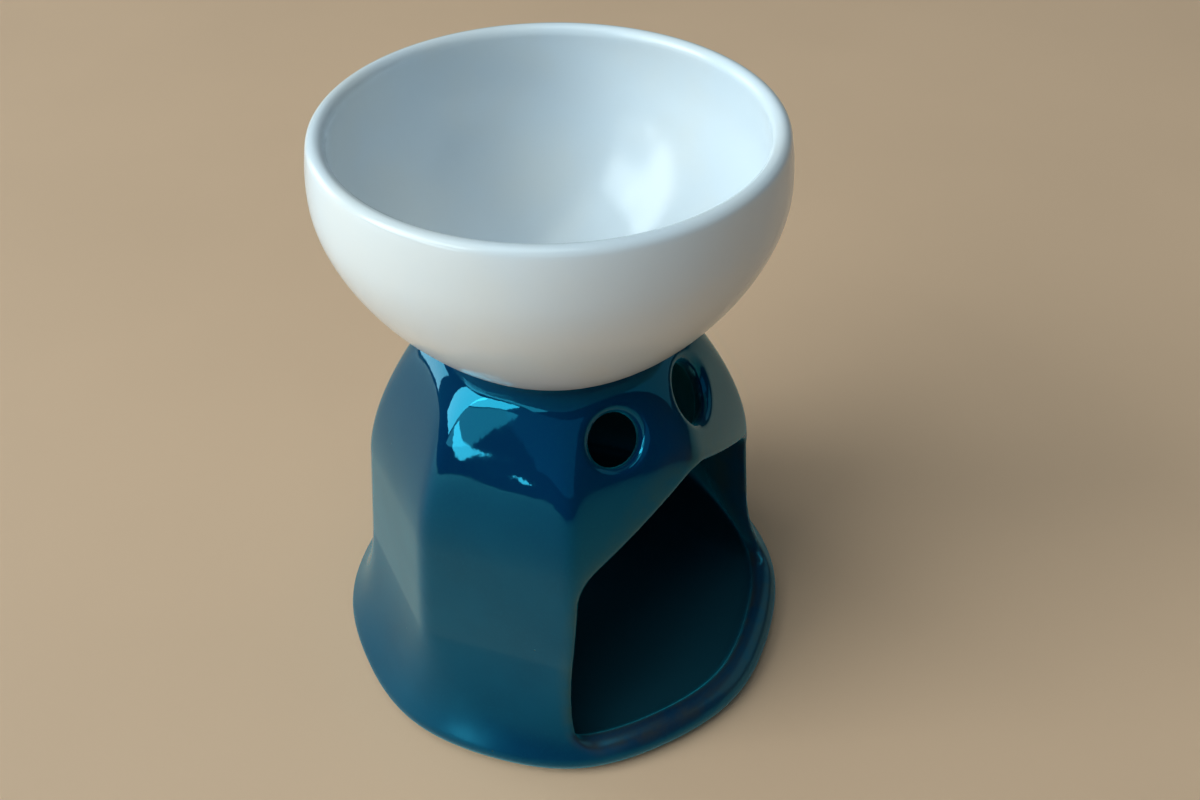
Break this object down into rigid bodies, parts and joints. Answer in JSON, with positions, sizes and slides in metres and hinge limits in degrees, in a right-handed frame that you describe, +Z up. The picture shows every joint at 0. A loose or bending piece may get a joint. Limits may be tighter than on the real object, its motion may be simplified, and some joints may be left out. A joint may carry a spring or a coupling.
{
  "type": "wax warmer",
  "caption": "Glazed ceramic wax warmer: a faceted bell-shaped stand with a gabled doorway and round vents, a loose bowl that sits in its top, and a tealight inside to heat it.",
  "frame": {"origin": "centre of the stand's foot, on the table", "axes": "+Z up, -Y out of the doorway, +X to the right of someone facing the doorway"},
  "size_m": [0.1064, 0.1064, 0.1307],
  "materials": {
    "teal_glaze": "deep teal gloss glaze, unglazed under the foot",
    "white_glaze": "white gloss glaze",
    "cup_foil": "thin pressed sheet",
    "wax": "unburnt white paraffin",
    "sustainer_tin": "tinned sheet",
    "cotton": "waxed cotton braid"
  },
  "bodies": {
    "stand": {"stand": "teal_glaze"},
    "bowl": {"bowl": "white_glaze"},
    "tealight": {"tealight_cup": "cup_foil", "tealight_wax": "wax", "wick_sustainer": "sustainer_tin", "tealight_wick": "cotton"}
  },
  "joints": [
    {"name": "bowl_lift", "type": "slide", "parent": "stand", "child": "bowl", "axis": [0, 0, 1], "range_m": [0, 0.05]},
    {"name": "tealight_slide", "type": "slide", "parent": "stand", "child": "tealight", "axis": [0, -0.9903, 0.1392], "range_m": [0, 0.095]}
  ]
}
